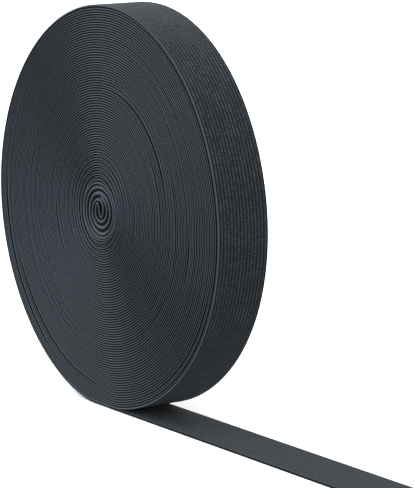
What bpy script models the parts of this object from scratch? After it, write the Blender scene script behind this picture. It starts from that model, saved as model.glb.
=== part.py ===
"""A roll of flat black elastic tape standing on its rim, with its loose end lying along the surface.

Metres, +Z up. The origin is on the surface, under the middle of the roll. X runs out along the loose
end, and Y along the roll's axis, across the tape. The front face of the roll looks towards -Y.
"""

from math import cos, exp, pi, radians, sin

import bmesh
import bpy

# The tape
TAPE_WIDTH = 0.025
TAPE_THICKNESS = 0.0012
SELVEDGE = 0.0005  # the rounding along both edges of the tape
LOOSE_LENGTH = 0.202

# The roll
ROLL_RADIUS = 0.0897  # of the last turn, where it comes down to the surface
CENTRE_HEIGHT = 0.08935  # under the radius, because the roll's weight flattens its foot a little
TURN_PITCH = 0.00111  # from one turn to the next: wound tape is pressed a little thinner
CROWN = 0.0020  # how far the middle turns have slid towards the front
PARTING = 0.0003  # between the roll and the loose end
ROOT_X = 0.003  # where the last turn becomes the loose end

# The rim isn't quite round: waves in one turn, height in metres, and the angle of a crest in degrees
LOBES = (
    # waves, height, crest
    (2, 0.00028, 71.5),
    (3, 0.00040, -49.3),
    (4, 0.00023, -11.8),
)

# The wound faces in coarse relief: groups of turns, parted by grooves, each slid a little against the next
TURN_GROUPS = (
    # outer radius, slid towards the back, middle of the stretch that slid, half of it, both in degrees
    (0.0896, -0.0002, 0.0, 90.0),
    (0.0872, 0.0006, 0.0, 85.0),
    (0.0795, 0.0004, 235.0, 60.0),
    (0.0700, -0.0003, 120.0, 80.0),
    (0.0620, -0.0005, 230.0, 110.0),
    (0.0525, 0.0006, 48.0, 70.0),
    (0.0420, -0.0002, 200.0, 90.0),
    (0.0330, 0.0003, 90.0, 90.0),
    (0.0250, -0.0003, 0.0, 120.0),
)
GROOVE_DEPTH = 0.0009
GROOVE_HALF = 0.0007  # half a groove's width

# The eye, where the tape was first folded over: looser oval turns, drawn out along a leaning line
EYE_TURNS = (
    # radius, depth under the face
    (0.0175, 0.0009),
    (0.0150, 0.0),
    (0.0120, 0.0010),
    (0.0100, 0.0),
    (0.0080, 0.0012),
    (0.0062, 0.0),
    (0.0046, 0.0016),
    (0.0030, 0.0002),
    (0.0016, 0.0016),
)
NOT_SLID = (0.0, 0.0, 0.0, 90.0)  # the group that the eye's turns belong to
EYE_OVAL = 0.20  # how much narrower than tall the eye's turns are
EYE_LEAN = radians(14.0)
EYE_REACH = 0.012  # the turns are round again a little way outside this
EYE_SHIFT = (-0.0015, -0.0008)  # the eye lies off the rim's centre by this in X and Z

SEGMENTS = 60  # steps round the rim
SMOOTH_UNDER = radians(40.0)

# Matt black with a slight blue, linear: the wound faces are darker than the flat tape
WOUND_COLOUR = (0.032, 0.038, 0.043)
LOOSE_COLOUR = (0.045, 0.052, 0.060)
WOUND_ROUGHNESS = 0.85
LOOSE_ROUGHNESS = 0.80


def lobes(angle):
    return sum(height * cos(waves * (angle - radians(crest))) for waves, height, crest in LOBES)


def outline():
    """The rim seen from the front, clockwise from the root of the loose end: (x, z) from the axis."""
    ground = -CENTRE_HEIGHT
    on_loose_end = ground + TAPE_THICKNESS + PARTING
    points = [(ROOT_X, ground)]
    for step in range(SEGMENTS):
        turned = step / SEGMENTS
        angle = -pi / 2 - 2 * pi * turned
        radius = ROLL_RADIUS - TURN_PITCH * turned + lobes(angle)
        lowest = ground if turned < 0.5 else on_loose_end
        points.append((radius * cos(angle), max(radius * sin(angle), lowest)))
    points.append((ROOT_X, on_loose_end))
    return points


def slide(radius, angle, group):
    """How far a turn has slid along the axis: towards the front is negative."""
    _, amount, middle, half = group
    away = abs((angle - radians(middle) + pi) % (2 * pi) - pi)
    along = cos(min(pi / 2, away / radians(half) * pi / 2))
    return amount * along - CROWN * (1 - radius / ROLL_RADIUS)


def ring_rows():
    """(radius, depth under the face, group of turns) of each ring of points, from the rim to the eye."""
    rows = []
    inner_edges = [group[0] for group in TURN_GROUPS[1:]] + [EYE_TURNS[0][0]]
    for group, inner in zip(TURN_GROUPS, inner_edges):
        rows.append((group[0] - GROOVE_HALF, 0.0, group))
        rows.append((inner + GROOVE_HALF, 0.0, group))
        rows.append((inner, GROOVE_DEPTH, group))
    return rows + [(radius, depth, NOT_SLID) for radius, depth in EYE_TURNS[1:]]


def oval(x, z, radius):
    """Draws a ring of the eye in across its leaning line, and moves it off centre."""
    share = exp(-((radius / EYE_REACH) ** 2))
    across = x * cos(EYE_LEAN) + z * sin(EYE_LEAN)
    along = -x * sin(EYE_LEAN) + z * cos(EYE_LEAN)
    across *= 1 - EYE_OVAL * share
    inward = 1 - radius / ROLL_RADIUS
    return (
        across * cos(EYE_LEAN) - along * sin(EYE_LEAN) + EYE_SHIFT[0] * inward,
        across * sin(EYE_LEAN) + along * cos(EYE_LEAN) + EYE_SHIFT[1] * inward,
    )


def ring(mesh, rim, radius, depth, group, side):
    """One ring of a face: the rim's outline drawn in to a radius, on the side -1 front or 1 back."""
    made = []
    for number, (x, z) in enumerate(rim):
        share = radius / ROLL_RADIUS
        angle = -pi / 2 - 2 * pi * (number - 1) / SEGMENTS
        face_x, face_z = oval(x * share, z * share, radius)
        face_y = side * (TAPE_WIDTH / 2 - depth) + slide(radius, angle, group)
        made.append(mesh.verts.new((face_x, face_y, face_z + CENTRE_HEIGHT)))
    return made


def bridge(mesh, first, second):
    for number in range(len(first)):
        following = (number + 1) % len(first)
        mesh.faces.new((first[number], first[following], second[following], second[number]))


def add_object(name, mesh, colour, roughness):
    bmesh.ops.recalc_face_normals(mesh, faces=mesh.faces[:])
    data = bpy.data.meshes.new(name)
    mesh.to_mesh(data)
    mesh.free()
    data.shade_smooth()
    data.set_sharp_from_angle(angle=SMOOTH_UNDER)
    material = bpy.data.materials.new(name)
    material.use_nodes = True
    surface = material.node_tree.nodes["Principled BSDF"]
    surface.inputs["Base Color"].default_value = (*colour, 1.0)
    surface.inputs["Roughness"].default_value = roughness
    surface.inputs["Metallic"].default_value = 0.0
    data.materials.append(material)
    made = bpy.data.objects.new(name, data)
    bpy.context.scene.collection.objects.link(made)
    return made


def build_wound_roll():
    """All the turns as one solid: a rim as wide as the tape, and two faces of slid and parted turns."""
    mesh = bmesh.new()
    rim = outline()
    edges = []
    for side in (-1, 1):
        edge = [
            mesh.verts.new((x, side * (TAPE_WIDTH / 2 - SELVEDGE), z + CENTRE_HEIGHT))
            for x, z in rim
        ]
        edges.append(edge)
        previous = edge
        for radius, depth, group in ring_rows():
            current = ring(mesh, rim, radius, depth, group, side)
            bridge(mesh, previous, current)
            previous = current
        middle = mesh.verts.new(
            (
                EYE_SHIFT[0],
                side * TAPE_WIDTH / 2 - CROWN,
                CENTRE_HEIGHT + EYE_SHIFT[1],
            )
        )
        for number in range(len(previous)):
            following = (number + 1) % len(previous)
            mesh.faces.new((previous[number], previous[following], middle))
    bridge(mesh, edges[0], edges[1])
    return add_object("wound_roll", mesh, WOUND_COLOUR, WOUND_ROUGHNESS)


def build_loose_end():
    """The flat stretch of tape: one cross-section with rounded selvedges, drawn out along X."""
    bend = [radians(turn) for turn in (-90, -45, 0, 45, 90)]
    core = TAPE_WIDTH / 2 - SELVEDGE
    middle = TAPE_THICKNESS / 2
    section = [(core + SELVEDGE * cos(turn), middle * (1 + sin(turn))) for turn in bend]
    section += [(-y, z) for y, z in reversed(section)]
    mesh = bmesh.new()
    start = ROOT_X + PARTING
    cut = mesh.faces.new([mesh.verts.new((start, y, z)) for y, z in section])
    drawn = bmesh.ops.extrude_face_region(mesh, geom=[cut], use_keep_orig=True)
    far_end = [item for item in drawn["geom"] if isinstance(item, bmesh.types.BMVert)]
    bmesh.ops.translate(mesh, verts=far_end, vec=(LOOSE_LENGTH, 0.0, 0.0))
    return add_object("loose_end", mesh, LOOSE_COLOUR, LOOSE_ROUGHNESS)


def main():
    for old in list(bpy.data.objects):
        bpy.data.objects.remove(old, do_unlink=True)
    build_wound_roll()
    build_loose_end()


main()
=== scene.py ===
# %% [markdown]
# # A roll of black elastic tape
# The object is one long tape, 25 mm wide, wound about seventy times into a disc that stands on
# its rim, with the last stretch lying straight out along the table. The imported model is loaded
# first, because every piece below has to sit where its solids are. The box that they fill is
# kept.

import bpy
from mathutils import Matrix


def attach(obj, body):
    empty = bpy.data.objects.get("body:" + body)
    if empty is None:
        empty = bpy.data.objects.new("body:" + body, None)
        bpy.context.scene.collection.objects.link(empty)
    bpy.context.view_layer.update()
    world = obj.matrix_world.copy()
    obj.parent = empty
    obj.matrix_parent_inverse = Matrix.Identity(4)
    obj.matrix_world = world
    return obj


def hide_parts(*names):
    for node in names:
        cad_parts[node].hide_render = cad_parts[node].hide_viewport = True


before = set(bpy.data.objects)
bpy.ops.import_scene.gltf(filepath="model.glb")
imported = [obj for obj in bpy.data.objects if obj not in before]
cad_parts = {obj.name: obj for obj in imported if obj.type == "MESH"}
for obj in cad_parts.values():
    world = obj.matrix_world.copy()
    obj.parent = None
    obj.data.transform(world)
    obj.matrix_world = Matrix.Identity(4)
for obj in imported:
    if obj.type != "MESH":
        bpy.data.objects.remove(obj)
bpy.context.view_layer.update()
print("solids:", sorted(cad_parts))

# %% [markdown]
# ## Modules and units
# Blender works in metres. Cloth is easier to think of in millimetres, so sizes are written as a
# number times MM.

# %% Modules and units
from math import ceil, pi, radians, sqrt

import bpy
import numpy as np
from mathutils import Matrix, Vector

MM = 0.001

# %% [markdown]
# ## The camera
# A long lens from low on the right: it sees the wound face at a slant, the rim beside it, and the
# loose end running towards the lower right corner. A long lens far away keeps the far side of the
# disc as large as the near side, as in a shop picture. The camera is aimed by tracking its -Z
# axis at a point, then rolled a little.

# %% The camera
CAMERA_PLACE = Vector((0.9551, -0.6133, 0.2739))
CAMERA_AIM = Vector((0.0622, 0.0, 0.0816))
CAMERA_ROLL = radians(-0.26)
LENS_MM = 225.75
SENSOR_WIDTH_MM = 36.0
FARTHEST_SEEN = 50.0

camera_data = bpy.data.cameras.new("camera")
camera_data.sensor_fit = "HORIZONTAL"
camera_data.sensor_width = SENSOR_WIDTH_MM
camera_data.lens = LENS_MM
camera_data.clip_end = FARTHEST_SEEN
camera = bpy.data.objects.new("camera", camera_data)
camera.location = CAMERA_PLACE
looking = (CAMERA_AIM - CAMERA_PLACE).to_track_quat("-Z", "Y").to_matrix()
camera.rotation_euler = (looking @ Matrix.Rotation(CAMERA_ROLL, 3, "Z")).to_euler()
bpy.context.scene.collection.objects.link(camera)
bpy.context.scene.camera = camera
print("camera to aim:", round((CAMERA_AIM - CAMERA_PLACE).length, 3), "m")

# %% [markdown]
# ## Colours and nodes
# Colours are read off as ordinary screen values, written as hex. Shader sockets want linear
# light, so one function turns the first into the second. Another adds a node, fills in its
# settings and links its inputs. An input can be a number, a socket, or a node, whose first output
# is meant, so each node is one line of script.


# %% Colours and nodes
def linear(hex_colour):
    """A screen colour such as "#2b3034" as linear red, green, blue and alpha."""
    channels = [int(hex_colour[start:start + 2], 16) / 255 for start in (1, 3, 5)]
    light = [c / 12.92 if c <= 0.04045 else ((c + 0.055) / 1.055) ** 2.4 for c in channels]
    return (*light, 1.0)


def add_node(tree, kind, inputs=None, **settings):
    """Adds a node. An input is a value, a socket, or a node, whose first output is linked to it."""
    node = tree.nodes.new(kind)
    for name, value in settings.items():
        setattr(node, name, value)
    for name, value in (inputs or {}).items():
        if isinstance(value, bpy.types.Node):
            value = value.outputs[0]
        if isinstance(value, bpy.types.NodeSocket):
            tree.links.new(value, node.inputs[name])
        else:
            node.inputs[name].default_value = value
    return node


print("black yarn in linear light:", [round(value, 4) for value in linear("#2b3034")])

# %% [markdown]
# ## Table and light
# The roll stands on a plain white table under soft studio light: a white room, darker towards the
# floor, and two large square lamps. The softbox is high up on the left, in front of the wound
# face, and makes the face and the top of the rim lighter than the right side of the rim. The fill
# is weaker and straight in front, so that the sides of the face aren't much darker than its top
# and bottom. The table is a plane made by hand, far larger than the view, so that it has no edge.
# It is a light table of opal acrylic: to the eye it is pure white, and its weak glow keeps the
# shadows faint. A photographer keeps a white table from lighting black goods from below with dark
# cards. Here the table is hidden from diffuse rays, which does the same, and the dark lower half
# of the room is the card.

# %% Table and light
TABLE_SIZE = 16.0
TABLE_WHITE = "#fafafa"
TABLE_ROUGHNESS = 0.9
TABLE_SPECULAR = 0.1
TABLE_GLOW = 0.14
ROOM_ABOVE = 1.45
ROOM_BELOW = 0.2
ROOM_DARKENS = (-0.05, -0.35)
LAMP_AIM = Vector((0.0, 0.0, 0.08))
LAMPS = (
    # name, place, side of the square, watts
    ("softbox", Vector((-0.9, -1.5, 2.0)), 3.0, 68.0),
    ("fill", Vector((0.0, -2.6, 0.5)), 2.0, 24.0),
)

bpy.ops.object.select_all(action="DESELECT")
bpy.ops.mesh.primitive_plane_add(size=TABLE_SIZE)
table = bpy.context.object
table.name = "table"
table_material = bpy.data.materials.new("opal_white_acrylic")
table_material.use_nodes = True
table_surface = table_material.node_tree.nodes["Principled BSDF"]
table_surface.inputs["Base Color"].default_value = linear(TABLE_WHITE)
table_surface.inputs["Roughness"].default_value = TABLE_ROUGHNESS
table_surface.inputs["Specular IOR Level"].default_value = TABLE_SPECULAR
table_surface.inputs["Emission Color"].default_value = linear("#ffffff")
table_surface.inputs["Emission Strength"].default_value = TABLE_GLOW
table.data.materials.append(table_material)
table.visible_diffuse = False

# A direction's Z is 1 straight up and -1 straight down
room = bpy.data.worlds.new("room")
room.use_nodes = True
direction = add_node(room.node_tree, "ShaderNodeTexCoord").outputs["Generated"]
upward = add_node(room.node_tree, "ShaderNodeSeparateXYZ", {0: direction}).outputs["Z"]
brightness = add_node(
    room.node_tree,
    "ShaderNodeMapRange",
    {
        "Value": upward,
        "From Min": ROOM_DARKENS[1],
        "From Max": ROOM_DARKENS[0],
        "To Min": ROOM_BELOW,
        "To Max": ROOM_ABOVE,
    },
).outputs["Result"]
room.node_tree.links.new(brightness, room.node_tree.nodes["Background"].inputs["Strength"])
room.node_tree.nodes["Background"].inputs["Color"].default_value = (1.0, 1.0, 1.0, 1.0)
bpy.context.scene.world = room
bpy.context.scene.view_settings.view_transform = "Standard"

for lamp_name, lamp_place, lamp_size, lamp_watts in LAMPS:
    lamp_data = bpy.data.lights.new(lamp_name, "AREA")
    lamp_data.shape = "SQUARE"
    lamp_data.size = lamp_size
    lamp_data.energy = lamp_watts
    lamp = bpy.data.objects.new(lamp_name, lamp_data)
    lamp.location = lamp_place
    lamp.rotation_euler = (LAMP_AIM - lamp_place).to_track_quat("-Z", "Y").to_euler()
    bpy.context.scene.collection.objects.link(lamp)
    print(lamp_name, "distance:", round((LAMP_AIM - lamp_place).length, 2), "m")

# %% [markdown]
# ## Sizes of the tape and the roll
# These repeat the solids' own sizes, because this script can't read their source. Wound tape is
# pressed thinner than the loose end. It is drawn a little thinner still, so that a fine dark gap
# shows between turns. A roll wound by hand isn't quite round, and a few waves round the rim,
# added up, give it its own outline.

# %% Sizes of the tape and the roll
TAPE_WIDTH = 25.0 * MM
TAPE_THICKNESS = 1.2 * MM
WOUND_THICKNESS = 1.01 * MM
TURN_PITCH = 1.11 * MM
ROLL_RADIUS = 89.9 * MM
CENTRE_HEIGHT = 89.35 * MM
CROWN = 2.0 * MM
ROOT_X = 3.0 * MM
LOOSE_END_X = 205.3 * MM

RIM_WAVES = (
    # waves in one turn, height, angle of a crest in degrees
    (2, 0.37 * MM, 46.5),
    (3, 0.21 * MM, -40.4),
    (4, 0.33 * MM, -14.5),
    (5, 0.10 * MM, -28.5),
)


def rim_wave(angle):
    height = 0.0
    for waves, amount, crest in RIM_WAVES:
        height = height + amount * np.cos(waves * (angle - radians(crest)))
    return height


print("flattened foot:", round((ROLL_RADIUS - CENTRE_HEIGHT) / MM, 2), "mm")

# %% [markdown]
# ## The path of the regular turns
# Seen from the front, the tape comes in along the table from the right, and winds up the left
# side and over the top. A turn's number counts inwards from the foot, so turn 2.25 has gone round
# twice and a quarter. Each turn lies one pitch inside the last: that is a spiral, and it is
# computed, because a shape of seventy turns can't be pushed into place by hand. Halfway in, the
# turns are a little taller than wide. The roll's weight flattens the outer turns at the foot, and
# the turns on the right of the foot also ride over the loose end. A soft limit on the height does
# both. The limits are a little closer together than the turns, so that a few turns in, nothing is
# flat any more.

# %% The path of the regular turns
REGULAR_TURNS = 69
MIDDLE_OVAL = 0.9 * MM
FLAT_SOFTNESS = 0.1 * MM
FLAT_RELEASE = 0.1 * MM
GAP_OVER_LOOSE_END = 0.05 * MM
EYE_SHIFT = np.array((-1.2, -0.7)) * MM


def turn_angle(turns):
    """Angle from +X, counter-clockwise seen from the front, of a turn number."""
    return -pi / 2 - 2 * pi * turns


def regular_path(turns):
    """(x, z) of the middle of the tape's thickness, from the roll's axis, for an array of turns."""
    angle = turn_angle(turns)
    depth = turns * TURN_PITCH / ROLL_RADIUS
    radius = ROLL_RADIUS - turns * TURN_PITCH + rim_wave(angle) * (1 - depth)
    radius -= WOUND_THICKNESS / 2 + MIDDLE_OVAL * np.cos(2 * angle) * 4 * depth * (1 - depth)
    x = radius * np.cos(angle) + EYE_SHIFT[0] * depth
    z = radius * np.sin(angle) + EYE_SHIFT[1] * depth
    turns_below = np.round(turns)
    lowest = turns_below * (TURN_PITCH - FLAT_RELEASE) - CENTRE_HEIGHT + WOUND_THICKNESS / 2
    over_loose_end = TAPE_THICKNESS + GAP_OVER_LOOSE_END - TURN_PITCH
    lowest += np.minimum(turns_below, 1) * over_loose_end
    above = z - lowest
    z = lowest + (above + np.sqrt(above**2 + FLAT_SOFTNESS**2)) / 2
    return np.stack((x, z), axis=1)


innermost_radius = ROLL_RADIUS - REGULAR_TURNS * TURN_PITCH
print("innermost regular turn:", round(innermost_radius / MM, 1), "mm radius")

# %% [markdown]
# ## The eye
# The roll was started by folding the tape over: the fold is a tight U in the middle, and both
# arms then wind round it, loosely, with dark slits between them. One arm is short, and ends near
# the top after three quarters of a turn. The other goes on into the regular turns. Their radii
# are listed for each quarter turn out from the fold, as they would be measured on the real roll,
# and the fold itself is a few points listed one by one. The line through them is cut into even
# steps and smoothed, which takes out the corners.

# %% The eye
LONG_ARM_RADII = np.array(
    # radius at each quarter turn out from the fold: below, right, above, left, and so on
    (2.85, 3.05, 5.05, 5.8, 7.4, 8.6, 7.9, 8.3, 10.2, 11.1, 10.4, 11.0, 12.0, 12.5, 12.3, 12.85)
) * MM
SHORT_ARM_RADII = np.array((3.6, 3.1, 4.8, 6.0, 6.5)) * MM
SHORT_ARM_END = 3.9
FOLD = np.array(
    (
        # x, z from the middle of the eye, from the long arm to the short one
        (2.75, -1.4),
        (2.05, -2.7),
        (1.15, -3.1),
        (0.35, -2.3),
        (0.0, -0.9),
        (-0.45, 1.3),
        (-0.9, 3.0),
        (-1.6, 3.75),
        (-2.4, 3.1),
        (-2.85, 1.6),
    )
) * MM
ARM_STEP = 0.05  # in quarter turns
EYE_STEP = 0.1 * MM
EYE_SMOOTHING = 9


def arm(radii, quarters, start_angle):
    """Points along an arm, for an array of quarter turns out from the fold."""
    radius = np.interp(quarters, np.arange(len(radii)), radii)
    angle = start_angle + quarters * pi / 2
    return np.stack((radius * np.cos(angle), radius * np.sin(angle)), axis=1)


def evenly(points, step):
    """The same line with a point at every step of its length."""
    pieces = np.linalg.norm(np.diff(points, axis=0), axis=1)
    lengths = np.concatenate(([0.0], np.cumsum(pieces)))
    wanted = np.linspace(0.0, lengths[-1], max(2, round(lengths[-1] / step)))
    x = np.interp(wanted, lengths, points[:, 0])
    z = np.interp(wanted, lengths, points[:, 1])
    return np.stack((x, z), axis=1)


def smoothed(points, half_window):
    """A moving average along the line, with both ends kept."""
    weights = np.ones(2 * half_window + 1) / (2 * half_window + 1)
    for _ in range(3):
        padded = np.concatenate(
            (
                2 * points[0] - points[half_window:0:-1],
                points,
                2 * points[-1] - points[-2:-half_window - 2:-1],
            )
        )
        x = np.convolve(padded[:, 0], weights, "valid")
        z = np.convolve(padded[:, 1], weights, "valid")
        points = np.stack((x, z), axis=1)
    return points


def eye_path():
    """In along the long arm, from the innermost regular turn, round the fold and out again."""
    joint = np.linalg.norm(regular_path(np.array([float(REGULAR_TURNS)]))[0] - EYE_SHIFT)
    radii = np.append(LONG_ARM_RADII, joint)
    long_arm = arm(radii, np.arange(len(radii) - 1, 1, -ARM_STEP), -pi / 2)
    short_arm = arm(SHORT_ARM_RADII, np.arange(1.0, SHORT_ARM_END, ARM_STEP), pi / 2)
    inward = 1 - joint / ROLL_RADIUS
    line = evenly(np.concatenate((long_arm, FOLD, short_arm)), EYE_STEP)
    return smoothed(line, EYE_SMOOTHING) + EYE_SHIFT * inward


print("eye:", len(eye_path()), "points")

# %% [markdown]
# ## How far each turn has slid
# A wound face is never flat. The middle turns have crept towards the front, each turn wanders a
# fraction of a millimetre along its length, and a few stand back far enough to leave a dark line.
# Near the eye every other turn stands back, so that the gaps there look twice as far apart. The
# wander is a smooth random line along the tape with a fixed seed, and the turns that stand back
# are listed.

# %% How far each turn has slid
WANDER = 0.06 * MM
WANDER_LENGTH = 90.0 * MM
WANDER_POINTS = 260
WANDER_SEED = 11
SLID_TURNS = (
    # turn number of the middle, half of the stretch in turns, slid towards the back
    (0.75, 0.30, -0.12 * MM),
    (1.74, 0.27, 0.38 * MM),
    (3.87, 0.09, 0.4 * MM),
    (5.18, 0.10, 0.4 * MM),
    (9.09, 0.12, 0.55 * MM),
    (18.78, 0.03, 0.4 * MM),
    (24.10, 0.07, 0.32 * MM),
    (25.10, 0.06, -0.25 * MM),
    (26.90, 0.08, 0.28 * MM),
    (27.75, 0.08, -0.25 * MM),
    (30.20, 0.07, -0.22 * MM),
    (32.61, 0.13, 0.5 * MM),
    (37.70, 0.07, -0.22 * MM),
    (46.20, 0.06, 0.3 * MM),
    (54.77, 0.07, 0.38 * MM),
)
PAIRED_TURNS = 11
PAIR_SLIDE = 0.40 * MM
PAIR_CHANGES = 0.75  # a turn starts to stand back, or to come forward, on the right side
wander_values = np.random.default_rng(WANDER_SEED).normal(0.0, WANDER, WANDER_POINTS)


def bump_curve(away):
    """1 in the middle half, falling smoothly to 0 at a distance of 1."""
    return np.cos(np.clip(2 * np.abs(away) - 1, 0, 1) * pi / 2) ** 2


def slid(turns, along, radius):
    """How far the tape has slid along the roll's axis: towards the front is negative."""
    place = along / WANDER_LENGTH
    before = np.floor(place).astype(int) % WANDER_POINTS
    after = (before + 1) % WANDER_POINTS
    share = (1 - np.cos((place % 1) * pi)) / 2
    offset = wander_values[before] * (1 - share) + wander_values[after] * share
    offset = offset - CROWN * (1 - radius / ROLL_RADIUS)
    for middle, half, amount in SLID_TURNS:
        offset = offset + amount * bump_curve((turns - middle) / half)
    near_eye = np.sqrt(np.clip(1 - (REGULAR_TURNS - turns) / PAIRED_TURNS, 0, 1))
    near_eye = near_eye * (turns <= REGULAR_TURNS)
    every_other = np.clip(2 * np.sin((turns - PAIR_CHANGES) * pi), -1, 1)
    return offset + PAIR_SLIDE * near_eye * (1 + every_other) / 2


print("wander repeats after", round(WANDER_LENGTH * WANDER_POINTS, 1), "m of tape")

# %% [markdown]
# ## Cross-sections of the tape
# Elastic tape is a row of covered rubber strands, so both faces have fine ribs lengthwise, and
# each edge is a rounded selvedge. Ribs are only modelled where a face of the tape shows. The
# turns inside the roll show nothing but their selvedges, so their section is plain: a few points
# at each edge, and straight lines between the edges. The innermost of these points, 3 mm in, are
# marked as pressed. The next turn lies against the tape there, which shuts the roll to light.
# Every section starts on the inner face and runs round. Its points also say how far round they
# are, for the cloth pattern.

# %% Cross-sections of the tape
RIBS = 14
SELVEDGE_WIDTH = 0.6 * MM
RIB_WIDTH = (TAPE_WIDTH - 2 * SELVEDGE_WIDTH) / RIBS
RIB_HEIGHT = 0.06 * MM
RIB_SHARPNESS = 1.5
EXPOSED_SELVEDGE = (
    # in from the edge, share of the half thickness
    (0.45 * MM, 1.0),
    (0.20 * MM, 0.90),
    (0.06 * MM, 0.55),
    (0.0, 0.15),
)
PACKED_SELVEDGE = (
    # in from the edge, share of the half thickness
    (3.00 * MM, 1.0),
    (0.60 * MM, 0.80),
    (0.14 * MM, 0.38),
    (0.0, 0.10),
)


def half_face(thickness, ribbed):
    """One face, from the middle to the edge: (across, height, 1 where it is pressed)."""
    half = thickness / 2
    points = []
    if ribbed:
        for quarter in range(2 * RIBS + 1):
            across = quarter * RIB_WIDTH / 4
            dip = RIB_HEIGHT * abs(np.cos(across / RIB_WIDTH * pi)) ** RIB_SHARPNESS
            points.append((across, half - dip, 0))
    selvedge = EXPOSED_SELVEDGE if ribbed else PACKED_SELVEDGE
    for row, (inset, share) in enumerate(selvedge):
        pressed = 1 if row == 0 and not ribbed else 0
        points.append((TAPE_WIDTH / 2 - inset, share * half, pressed))
    return points


def section(thickness, ribbed_outside, ribbed_inside):
    """(across, out, pressed) of each point, and how far round it is. Outwards is positive."""
    outer = half_face(thickness, ribbed_outside)
    inner = half_face(thickness, ribbed_inside)
    points = [(across, -height, -pressed) for across, height, pressed in inner]
    points += [(across, height, pressed) for across, height, pressed in reversed(outer)]
    for across, height, pressed in outer:
        if across > 0:
            points.append((-across, height, pressed))
    for across, height, pressed in reversed(inner):
        if across > 0:
            points.append((-across, -height, -pressed))
    rounds = [TAPE_WIDTH - across for across, _, _ in inner]
    rounds += [across for across, _, _ in reversed(outer)]
    rounds += [-across for across, _, _ in outer if across > 0]
    rounds += [across - TAPE_WIDTH for across, _, _ in reversed(inner) if across > 0]
    rounds += [-TAPE_WIDTH - inner[0][0]]
    return np.array(points), np.array(rounds)


print("points in a ribbed section:", len(section(TAPE_THICKNESS, True, True)[0]))

# %% [markdown]
# ## Sweeping a section along a path
# This is what a curve's bevel does, written out, because each point of the path also has its own
# slide along the axis, and its own thickness: the section's heights are multiplied by the
# fullness there, and its pressed points stand out by the reach. The pattern's coordinates are
# kept in a UV map in metres: U along the tape, and V round its section from the middle of its
# outer face. Two more values go to the material with each point: the fullness, and how far in
# from the selvedge the neighbouring turns hide the tape.


# %% Sweeping a section along a path
def ring_corners(path, slides, points, fullness, reach):
    """The section's points at each point of the path, ring after ring."""
    forward = np.gradient(path, axis=0)
    forward /= np.linalg.norm(forward, axis=1, keepdims=True)
    outward = np.stack((-forward[:, 1], forward[:, 0]), axis=1)
    pressed = points[None, :, 2]
    out = np.where(pressed, pressed * reach[:, None], points[None, :, 1] * fullness[:, None])
    x = path[:, None, 0] + outward[:, None, 0] * out
    y = slides[:, None] + points[None, :, 0]
    z = path[:, None, 1] + outward[:, None, 1] * out + CENTRE_HEIGHT
    return np.stack((x, y, z), axis=2).reshape(-1, 3)


def ring_faces(step, side, sides):
    """Faces between neighbouring rings, as the numbers of their corners."""
    following = (side + 1) % sides
    corners = (
        step * sides + side,
        (step + 1) * sides + side,
        (step + 1) * sides + following,
        step * sides + following,
    )
    return np.stack(corners, axis=2).reshape(-1, 4)


def corner_map(along, rounds, step, side, sides):
    """(U, V) of each corner of each face, in the same order, and then of both caps."""
    u = np.stack((along[step], along[step + 1], along[step + 1], along[step]), axis=2)
    v = np.stack((rounds[side], rounds[side], rounds[side + 1], rounds[side + 1]), axis=2)
    cap_u = [along[0]] * sides + [along[-1]] * sides
    cap_v = [*rounds[:-1], *rounds[-2::-1]]
    return np.stack((np.append(u.ravel(), cap_u), np.append(v.ravel(), cap_v)), axis=1)


def swept(name, path, slides, along, shape, fullness, reach, hidden):
    """A closed mesh object: the section at each point of the path, and a cap at both ends."""
    points, rounds = shape
    steps, sides = len(path), len(points)
    step, side = np.meshgrid(np.arange(steps - 1), np.arange(sides), indexing="ij")
    corners = ring_corners(path, slides, points, fullness, reach)
    faces = ring_faces(step, side, sides).tolist()
    faces.append(list(range(sides)))
    faces.append(list(range(steps * sides - 1, (steps - 1) * sides - 1, -1)))
    data = bpy.data.meshes.new(name)
    data.from_pydata(corners.tolist(), [], faces)
    data.update()
    layer = data.uv_layers.new(name="tape")
    layer.data.foreach_set("uv", corner_map(along, rounds, step, side, sides).ravel())
    fullness_layer = data.attributes.new("fullness", "FLOAT", "POINT")
    fullness_layer.data.foreach_set("value", np.repeat(fullness, sides))
    # How far in the neighbours hide the tape, which is as far in as the material paints shade
    hidden_layer = data.attributes.new("hidden", "FLOAT", "POINT")
    hidden_layer.data.foreach_set("value", np.full(steps * sides, hidden))
    made = bpy.data.objects.new(name, data)
    bpy.context.scene.collection.objects.link(made)
    return made


print("points in a plain section:", len(section(WOUND_THICKNESS, False, False)[0]))

# %% [markdown]
# ## The outermost turn
# The path is cut into steps that are short enough for its bend: long ones at the rim, short ones
# in the eye. The outermost turn has the ribbed section, because its outer face is the rim.
# Nothing presses on that face, so the turn is a little fuller and stands a little proud, and it
# is flat again at both ends.

# %% The outermost turn
RIM_FLATNESS = 0.035 * MM
RIBBED_TURNS = 1.06
OUTER_FULLNESS = 1.10
OUTER_LIFT = 0.18 * MM
OUTER_REACH = 0.72 * MM
# How far in the painted shade reaches on the outermost turn's edges
OUTER_HIDDEN = 0.65 * MM
UNPRESSED_MIDDLE = 0.52  # in turns: the stretch with no other tape over or under it
UNPRESSED_HALF = 0.54


def turns_with_steps(first, last, flatness):
    """Turn numbers from first to last, in steps that stay within the flatness of a true arc."""
    numbers = []
    for turn in range(int(first), ceil(last)):
        radius = ROLL_RADIUS - turn * TURN_PITCH
        steps = 4 * ceil(2 * pi / sqrt(8 * flatness / radius) / 4)
        numbers.extend(turn + np.arange(steps) / steps)
    return np.array([first, *(number for number in numbers if first < number < last), last])


def path_lengths(path, start):
    pieces = np.linalg.norm(np.diff(path, axis=0), axis=1)
    return start + np.concatenate(([0.0], np.cumsum(pieces)))


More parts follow.
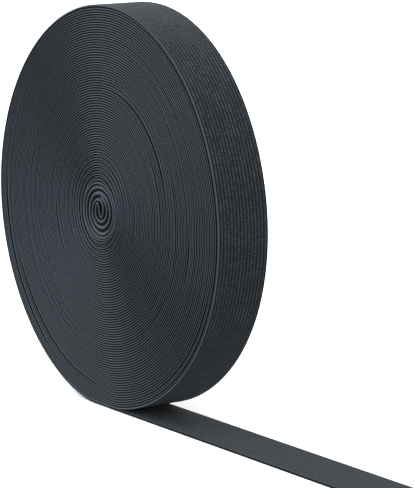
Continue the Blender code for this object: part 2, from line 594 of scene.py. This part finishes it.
rim_turns = turns_with_steps(0.0, RIBBED_TURNS, RIM_FLATNESS)
rim_path = regular_path(rim_turns)
rim_path = np.concatenate(([[ROOT_X, rim_path[0, 1]]], rim_path))
rim_turns = np.concatenate(([0.0], rim_turns))
rim_along = path_lengths(rim_path, LOOSE_END_X - ROOT_X)
rim_slides = slid(rim_turns, rim_along, np.linalg.norm(rim_path, axis=1))
rim_section = section(WOUND_THICKNESS, True, False)
unpressed = bump_curve((rim_turns - UNPRESSED_MIDDLE) / UNPRESSED_HALF)
rim_path = rim_path * (1 + unpressed * OUTER_LIFT / ROLL_RADIUS)[:, None]
rim_full = 1 + (OUTER_FULLNESS - 1) * unpressed
rim_reach = np.full(len(rim_path), OUTER_REACH)
outer_turn = swept(
    "outer_turn",
    rim_path,
    rim_slides,
    rim_along,
    rim_section,
    rim_full,
    rim_reach,
    OUTER_HIDDEN,
)
print("outermost turn:", round((rim_along[-1] - rim_along[0]) / MM), "mm round")

# %% [markdown]
# ## The inner turns
# All other turns have the plain section, and the path of the regular turns goes straight on into
# the eye. Nothing presses on the tape in the eye, so it is fuller there, most of all above and
# below the fold. The outermost turn is then joined to the others, and together they stand for the
# solid roll.

# %% The inner turns
TURN_FLATNESS = 0.05 * MM
TURN_REACH = (TURN_PITCH + TURN_FLATNESS) / 2
EYE_REACH = 1.55 * MM
EYE_TURNS = 5
EYE_POINTS_A_STEP = 5
EYE_FULLNESS = (
    # radius, thickness as a share of a pressed turn's: across the oval, and along it
    (3.0 * MM, 1.40, 1.45),
    (6.5 * MM, 1.60, 2.15),
    (9.5 * MM, 1.80, 2.25),
    (12.0 * MM, 1.35, 1.55),
    (14.0 * MM, 1.00, 1.00),
)

inner_turns = turns_with_steps(RIBBED_TURNS, REGULAR_TURNS, TURN_FLATNESS)
inner_path = regular_path(inner_turns)
eye = eye_path()[::EYE_POINTS_A_STEP]
inner_path = np.concatenate((inner_path, eye[1:]))
eye_turns = REGULAR_TURNS + np.linspace(0, EYE_TURNS, len(eye))[1:]
inner_turns = np.concatenate((inner_turns, eye_turns))
inner_along = path_lengths(inner_path, rim_along[-1])
inner_radius = np.linalg.norm(inner_path - EYE_SHIFT, axis=1)
inner_slides = slid(inner_turns, inner_along, inner_radius)
full_radii, full_across, full_along = zip(*EYE_FULLNESS)
upright = ((inner_path - EYE_SHIFT)[:, 1] / inner_radius) ** 2
full_across = np.interp(inner_radius, full_radii, full_across)
full_along = np.interp(inner_radius, full_radii, full_along)
inner_fullness = full_across + (full_along - full_across) * upright
inner_section = section(WOUND_THICKNESS, False, False)
inner_reach = np.interp(inner_radius, full_radii[-2:], (EYE_REACH, TURN_REACH))
wound = swept(
    "wound_elastic",
    inner_path,
    inner_slides,
    inner_along,
    inner_section,
    inner_fullness,
    inner_reach,
    TAPE_WIDTH / 2,
)

bpy.ops.object.select_all(action="DESELECT")
outer_turn.select_set(True)
wound.select_set(True)
bpy.context.view_layer.objects.active = wound
bpy.ops.object.join()
wound.data.calc_loop_triangles()
print("wound tape:", round(inner_along[-1], 2), "m,", len(wound.data.loop_triangles), "triangles")

# %% [markdown]
# ## The loose end
# The same tape, flat on the table and at its full thickness, with ribs on both faces. It starts
# at the foot of the roll, where the outermost turn ends. It has steps along its length only so
# that its faces stay close to square.

# %% The loose end
LOOSE_STEPS = 90

loose_x = np.linspace(LOOSE_END_X, ROOT_X, LOOSE_STEPS)
loose_z = np.full(LOOSE_STEPS, TAPE_THICKNESS / 2 - CENTRE_HEIGHT)
loose_path = np.stack((loose_x, loose_z), axis=1)
loose_along = path_lengths(loose_path, 0.0)
loose_slides = np.full(LOOSE_STEPS, rim_slides[0])
loose_section = section(TAPE_THICKNESS, True, True)
loose_full = np.ones(LOOSE_STEPS)
loose = swept(
    "loose_elastic",
    loose_path,
    loose_slides,
    loose_along,
    loose_section,
    loose_full,
    loose_full,
    0.0,
)
print("loose end:", round(loose_along[-1], 3), "m,", len(loose.data.polygons), "faces")

# %% [markdown]
# ## Ribs and stitches
# Polyester yarn is woven round rubber strands. Each rib is a strand under the yarn, and the yarn
# crosses it in short slanted stitches, half a step out of line with the next rib's, like bricks.
# They are waves worked out from real sizes on the tape's own UV map, so they follow every bend:
# the ribs are 1.7 mm apart, and a stitch is 0.92 mm long. To the eye the rim is dark cloth with
# rows of paler specks.

# %% Ribs and stitches
MATHS = "ShaderNodeMath"
STITCH_STEP = 0.92 * MM
STITCHES_ROUND = 28
STITCH_TAPER = 3.0
STITCH_DIP = -0.1
STITCH_CHANCE = (0.85, 1.45)


def rib_and_stitch(tree, along, around, across):
    """Two waves from 0 in a dip to 1 on a crest, and the light of each stitch."""
    rib_wave = add_node(tree, MATHS, {0: across, 1: pi / RIB_WIDTH}, operation="MULTIPLY")
    rib_wave = add_node(tree, MATHS, {0: rib_wave}, operation="SINE")
    rib = add_node(tree, MATHS, {0: rib_wave}, operation="ABSOLUTE")
    stitches = STITCHES_ROUND / (2 * TAPE_WIDTH)
    slant = add_node(tree, MATHS, {0: around, 1: stitches}, operation="MULTIPLY")
    stitch_place = add_node(
        tree,
        MATHS,
        {0: along, 1: 1 / STITCH_STEP, 2: slant},
        operation="MULTIPLY_ADD",
    )
    stitch_wave = add_node(tree, MATHS, {0: stitch_place, 1: pi}, operation="MULTIPLY")
    stitch_wave = add_node(tree, MATHS, {0: stitch_wave}, operation="SINE")
    stitch = add_node(tree, MATHS, {0: stitch_wave}, operation="ABSOLUTE")
    peak = add_node(tree, MATHS, {0: stitch, 1: STITCH_TAPER}, operation="POWER")
    weave = add_node(tree, MATHS, {0: peak, 1: rib}, operation="MULTIPLY")

    # Each stitch is a little lighter or darker than the next
    rib_place = add_node(tree, MATHS, {0: around, 1: 1 / RIB_WIDTH}, operation="MULTIPLY")
    rib_number = add_node(tree, MATHS, {0: rib_place}, operation="FLOOR")
    stitch_number = add_node(tree, MATHS, {0: stitch_place}, operation="FLOOR")
    cell = add_node(tree, "ShaderNodeCombineXYZ", {"X": stitch_number, "Y": rib_number})
    chance = add_node(tree, "ShaderNodeTexWhiteNoise", {"Vector": cell}, noise_dimensions="2D")
    chance = add_node(
        tree,
        "ShaderNodeMapRange",
        {"Value": chance, "To Min": STITCH_CHANCE[0], "To Max": STITCH_CHANCE[1]},
    )
    dots = add_node(tree, MATHS, {0: weave, 1: chance, 2: STITCH_DIP}, operation="MULTIPLY_ADD")
    return rib, stitch, weave, dots


print("ribs:", round(RIB_WIDTH / MM, 2), "mm apart")

# %% [markdown]
# ## Wear, fuzz and the bound selvedge
# In patches the yarn is worn flat, and only the ribs show. The selvedge is bound tight, so its
# stitches are close and even. Fine fuzz lies over all of it, which to the eye takes the hardness
# out of the pattern. Real fuzz is far too fine to see from here, so it is drawn as coarse as it
# has to be, with a grain of about 0.7 mm.

# %% Wear, fuzz and the bound selvedge
WORN_PATCHES = {"Scale": 120.0, "Detail": 1.0}
WORN_FROM = 0.36
WORN_TO = 0.72
WORN_MOST = 0.5
PLAIN_RIB = 0.25
FUZZ_GRAIN = {"Scale": 1400.0, "Detail": 2.0}
FUZZ = 0.10
BOUND_EDGE = 0.8 * SELVEDGE_WIDTH
BOUND_STITCH = 0.26
BOUND_TONE = 0.41


def cloth_tone(tree, inset, rib, stitch, dots):
    """How light the yarn is, and where the bound selvedge is."""
    coordinates = add_node(tree, "ShaderNodeTexCoord").outputs["Object"]
    patches = add_node(tree, "ShaderNodeTexNoise", {"Vector": coordinates, **WORN_PATCHES})
    worn = add_node(
        tree,
        "ShaderNodeMapRange",
        {"Value": patches, "From Min": WORN_FROM, "From Max": WORN_TO, "To Max": WORN_MOST},
    )
    plain = add_node(tree, MATHS, {0: rib, 1: PLAIN_RIB}, operation="MULTIPLY")
    tone = add_node(
        tree,
        "ShaderNodeMix",
        {"Factor": worn, "A": dots, "B": plain},
        data_type="FLOAT",
    )
    bound = add_node(
        tree,
        MATHS,
        {0: stitch, 1: BOUND_STITCH, 2: BOUND_TONE},
        operation="MULTIPLY_ADD",
    )
    on_selvedge = add_node(
        tree,
        "ShaderNodeMapRange",
        {"Value": inset, "From Min": SELVEDGE_WIDTH, "From Max": BOUND_EDGE},
    )
    tone = add_node(
        tree,
        "ShaderNodeMix",
        {"Factor": on_selvedge, "A": tone, "B": bound},
        data_type="FLOAT",
    )
    fuzz = add_node(tree, "ShaderNodeTexNoise", {"Vector": coordinates, **FUZZ_GRAIN})
    fuzz = add_node(tree, "ShaderNodeMapRange", {"Value": fuzz, "To Min": -FUZZ, "To Max": FUZZ})
    tone = add_node(tree, MATHS, {0: tone, 1: fuzz}, operation="ADD")
    return tone, on_selvedge


print("bound selvedge:", round(SELVEDGE_WIDTH / MM, 2), "mm wide")

# %% [markdown]
# ## Painted light and shade on the edges
# Yarn on the flanks of a wound turn lies pressed against the next, so only the crest of each edge
# is lit. That shade on the flanks is painted into the yarn's colour, and to the eye the wound face
# is a set of thin pale lines with nearly black ones between them. The lit crest is wider where the
# tape is fuller, and the painted shade goes as far in as the neighbouring turns hide the tape.
# Nothing hides the loose end: only its very edge has painted shade, and its yarn is painted darker
# all over, also as painted shade.

# %% Painted light and shade on the edges
# Width of the lit crest, and where the painted shade on the flanks and the loose end lies
CREST = 0.30 * MM
CREST_TOP = 0.2 * CREST
CREST_GROWTH = 1.2
FLANK_FADE = 0.15 * MM
SIDE_DARK = 0.20 * MM
SIDE_DARKEST = 0.02 * MM
LOOSE_DARKER = -0.44


def painted_edge_light(tree, inset):
    """The share of the yarn's own light tone that the painted shade leaves."""
    fullness = add_node(tree, "ShaderNodeAttribute", attribute_name="fullness").outputs["Fac"]
    hidden = add_node(tree, "ShaderNodeAttribute", attribute_name="hidden").outputs["Fac"]
    crest = add_node(tree, MATHS, {0: fullness, 1: CREST_GROWTH}, operation="POWER")
    crest = add_node(tree, MATHS, {0: crest, 1: CREST}, operation="MULTIPLY")
    # Painted shade: beyond the lit crest the flanks go dark, as far in as the tape is hidden
    flank = add_node(
        tree,
        "ShaderNodeMapRange",
        {"Value": inset, "From Min": CREST_TOP, "From Max": crest},
    )
    faded = add_node(tree, MATHS, {0: hidden, 1: FLANK_FADE}, operation="SUBTRACT")
    shut = add_node(
        tree,
        "ShaderNodeMapRange",
        {"Value": inset, "From Min": hidden, "From Max": faded},
    )
    dark = add_node(tree, MATHS, {0: flank, 1: shut}, operation="MULTIPLY")
    # Painted shade on the loose end's side, darkest at its very edge
    side = add_node(
        tree,
        "ShaderNodeMapRange",
        {"Value": inset, "From Min": SIDE_DARK, "From Max": SIDE_DARKEST},
    )
    unwound = add_node(tree, MATHS, {0: hidden, 1: SIDE_DARK}, operation="LESS_THAN")
    side = add_node(tree, MATHS, {0: side, 1: unwound}, operation="MULTIPLY")
    dark = add_node(tree, MATHS, {0: dark, 1: side}, operation="MAXIMUM")
    # The loose end's tone is painted darker all over: painted shade
    painted_loose_shade = add_node(
        tree,
        MATHS,
        {0: unwound, 1: LOOSE_DARKER, 2: 1.0},
        operation="MULTIPLY_ADD",
    )
    return add_node(tree, MATHS, {0: painted_loose_shade, 1: dark}, operation="SUBTRACT")


print("lit crest of a pressed turn:", round(CREST / MM, 2), "mm wide")

# %% [markdown]
# ## Woven elastic
# The three parts come together in one material. To the eye it is matt black with a slight blue
# cast, and it never shines: a faint sheen only softens it where it is seen at a slant. The
# stitches also go into a bump, so that light from the side picks them out.

# %% Woven elastic
STITCH_BUMP = 0.16 * MM
BOUND_HEIGHT = 0.4
YARN_LIGHT = "#515b63"
YARN_DARK = "#030405"
YARN_ROUGHNESS = 0.85
YARN_SPECULAR = 0.12
YARN_SHEEN = 0.045
YARN_SHEEN_ROUGHNESS = 0.5
YARN_SHEEN_TINT = "#eef6ff"


def woven_elastic(name):
    material = bpy.data.materials.new(name)
    material.use_nodes = True
    tree = material.node_tree
    surface = tree.nodes["Principled BSDF"]
    tape_map = add_node(tree, "ShaderNodeUVMap", uv_map="tape")
    place = add_node(tree, "ShaderNodeSeparateXYZ", {0: tape_map})
    along, around = place.outputs["X"], place.outputs["Y"]
    distance = add_node(tree, MATHS, {0: around}, operation="ABSOLUTE")
    across = add_node(tree, MATHS, {0: distance, 1: TAPE_WIDTH / 2}, operation="PINGPONG")
    inset = add_node(tree, MATHS, {0: TAPE_WIDTH / 2, 1: across}, operation="SUBTRACT")
    rib, stitch, weave, dots = rib_and_stitch(tree, along, around, across)
    tone, on_selvedge = cloth_tone(tree, inset, rib, stitch, dots)
    # Painted shade on the flanks between turns and on the loose end darkens the yarn's tone
    lit = painted_edge_light(tree, inset)
    tone = add_node(tree, MATHS, {0: tone, 1: lit}, operation="MULTIPLY")
    colour = add_node(
        tree,
        "ShaderNodeMix",
        {"Factor": tone, "A": linear(YARN_DARK), "B": linear(YARN_LIGHT)},
        data_type="RGBA",
    )
    tree.links.new(colour.outputs["Result"], surface.inputs["Base Color"])
    raised = add_node(
        tree,
        "ShaderNodeMix",
        {"Factor": on_selvedge, "A": weave, "B": BOUND_HEIGHT},
        data_type="FLOAT",
    )
    bump = add_node(
        tree,
        "ShaderNodeBump",
        {"Strength": 1.0, "Distance": STITCH_BUMP, "Height": raised},
    )
    tree.links.new(bump.outputs["Normal"], surface.inputs["Normal"])
    surface.inputs["Roughness"].default_value = YARN_ROUGHNESS
    surface.inputs["Sheen Weight"].default_value = YARN_SHEEN
    surface.inputs["Sheen Roughness"].default_value = YARN_SHEEN_ROUGHNESS
    surface.inputs["Sheen Tint"].default_value = linear(YARN_SHEEN_TINT)
    surface.inputs["Specular Tint"].default_value = linear(YARN_SHEEN_TINT)
    surface.inputs["Specular IOR Level"].default_value = YARN_SPECULAR
    return material


elastic_material = woven_elastic("woven_black_elastic")
print("nodes in the material:", len(elastic_material.node_tree.nodes))

# %% [markdown]
# ## Finishing the pieces
# Both pieces are shaded smooth up to a sharp angle, take the place of their solids and ride with
# the one body, and the length of tape in each is printed.

# %% Finish the pieces
SHARP_ANGLE = radians(50)
wound_length = inner_along[-1] - rim_along[0]
loose_length = loose_along[-1]

for piece, length, node, slot in (
    (wound, wound_length, "wound_roll", "wound_elastic"),
    (loose, loose_length, "loose_end", "loose_elastic"),
):
    bpy.ops.object.select_all(action="DESELECT")
    piece.select_set(True)
    bpy.context.view_layer.objects.active = piece
    bpy.ops.object.shade_smooth_by_angle(angle=SHARP_ANGLE)
    piece.data.materials.clear()
    piece.data.materials.append(elastic_material)
    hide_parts(node)
    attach(piece, "root")
    print(piece.name, "was", round(length, 2), "m of tape")
